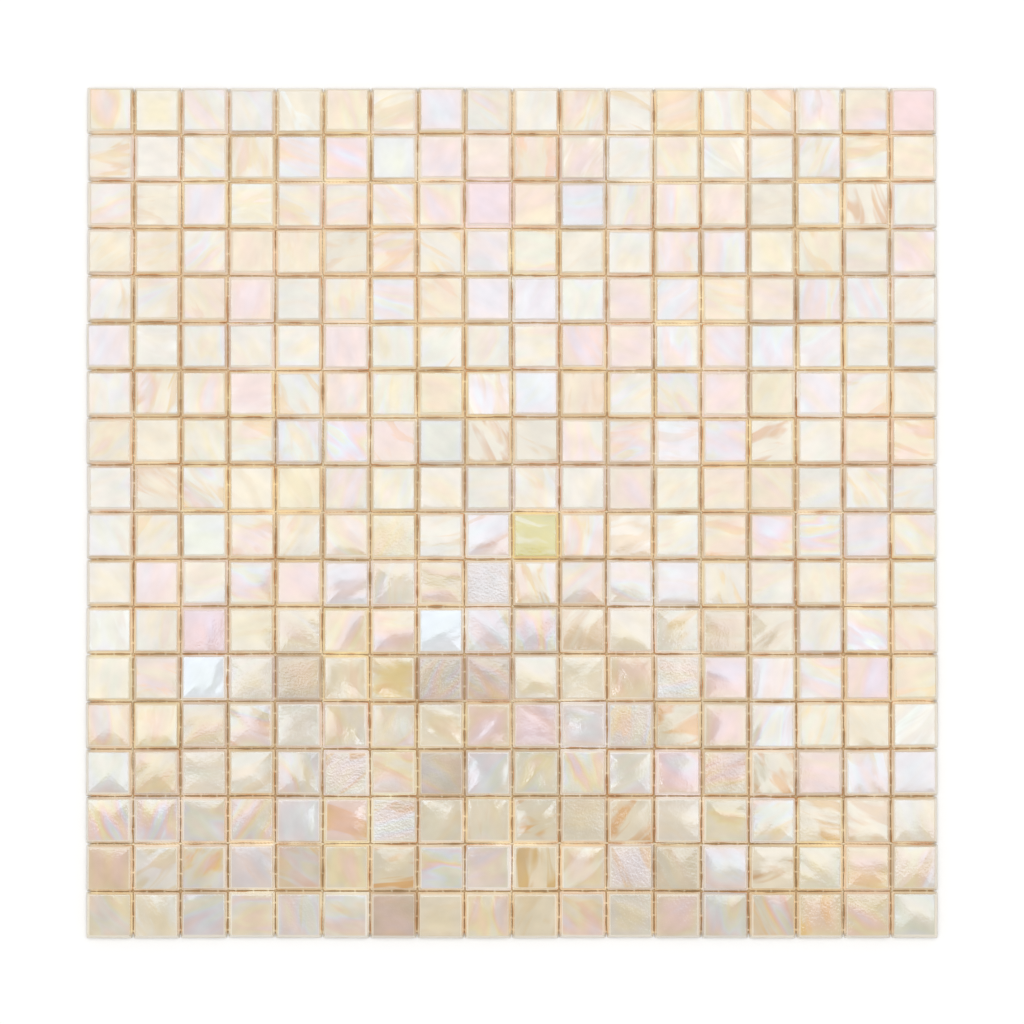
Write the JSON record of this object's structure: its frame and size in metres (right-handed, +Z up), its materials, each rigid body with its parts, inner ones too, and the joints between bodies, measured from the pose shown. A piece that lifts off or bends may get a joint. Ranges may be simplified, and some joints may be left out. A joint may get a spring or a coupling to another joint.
{
  "type": "mosaic tile sheet",
  "caption": "Square sheet of small pressed glass mosaic tiles with an iridescent face, laid in a close grid on a backing net of glass fibre yarns.",
  "frame": {"origin": "middle of the sheet's underside, on the floor that the net lies on", "axes": "+Z up through the tiles' faces, +X along a row of tiles, +Y from the last row to the first"},
  "size_m": [0.2952, 0.2952, 0.0044],
  "materials": {
    "opal_glass": "pressed cream and amber opal glass with a pearly iridescent film on its face",
    "net_yarn": "off-white flat glass fibre yarn"
  },
  "bodies": {
    "root": {"tile_row_01": "opal_glass", "tile_row_02": "opal_glass", "tile_row_03": "opal_glass", "tile_row_04": "opal_glass", "tile_row_05": "opal_glass", "tile_row_06": "opal_glass", "tile_row_07": "opal_glass", "tile_row_08": "opal_glass", "tile_row_09": "opal_glass", "tile_row_10": "opal_glass", "tile_row_11": "opal_glass", "tile_row_12": "opal_glass", "tile_row_13": "opal_glass", "tile_row_14": "opal_glass", "tile_row_15": "opal_glass", "tile_row_16": "opal_glass", "tile_row_17": "opal_glass", "tile_row_18": "opal_glass", "net_weft_yarns": "net_yarn", "net_warp_yarns": "net_yarn"}
  },
  "joints": []
}
